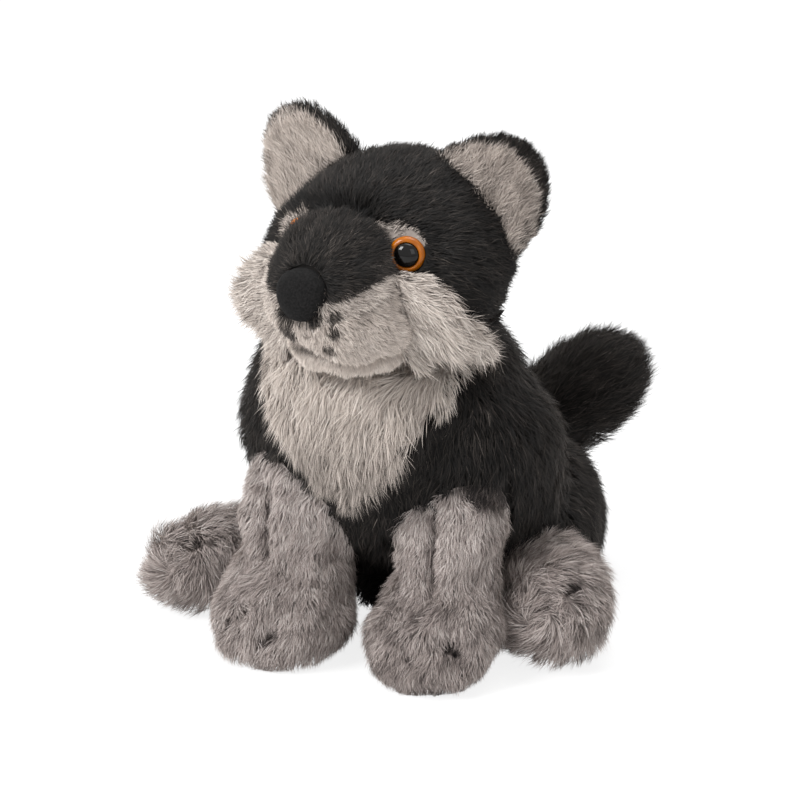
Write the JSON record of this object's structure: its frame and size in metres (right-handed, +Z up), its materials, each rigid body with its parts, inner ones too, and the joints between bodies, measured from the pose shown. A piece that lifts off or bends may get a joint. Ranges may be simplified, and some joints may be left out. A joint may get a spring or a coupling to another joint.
{
  "type": "plush wolf",
  "caption": "Seated plush wolf pup with stuffed legs, haunches and tail, lined ears, safety eyes and a flocked nose.",
  "frame": {"origin": "centre of the bounding box's base, on the surface that the wolf sits on", "axes": "+Z up, -Y the way the chest faces, +X the wolf's left side"},
  "size_m": [0.1672, 0.1776, 0.1846],
  "materials": {
    "black_plush": "charcoal black plush, medium pile",
    "grey_plush": "warm grey plush, short brushed pile",
    "pale_plush": "pale grey plush, long soft pile",
    "amber_plastic": "clear glossy amber",
    "black_plastic": "polished black",
    "washer_plastic": "plain moulded white",
    "nose_flock": "dark slate flock"
  },
  "bodies": {
    "root": {"torso": "black_plush", "chest_bib": "pale_plush", "head": "black_plush", "left_cheek_ruff": "pale_plush", "right_cheek_ruff": "pale_plush", "muzzle": "black_plush", "muzzle_pads": "pale_plush", "chin": "pale_plush", "left_ear": "black_plush", "right_ear": "black_plush", "left_ear_lining": "pale_plush", "right_ear_lining": "pale_plush", "left_front_leg": "grey_plush", "right_front_leg": "grey_plush", "left_haunch": "black_plush", "right_haunch": "black_plush", "left_hind_paw": "grey_plush", "right_hind_paw": "grey_plush", "tail": "black_plush", "left_eye": "amber_plastic", "right_eye": "amber_plastic", "left_pupil": "black_plastic", "right_pupil": "black_plastic", "left_eye_washer": "washer_plastic", "right_eye_washer": "washer_plastic", "nose": "nose_flock", "nose_washer": "washer_plastic"}
  },
  "joints": []
}
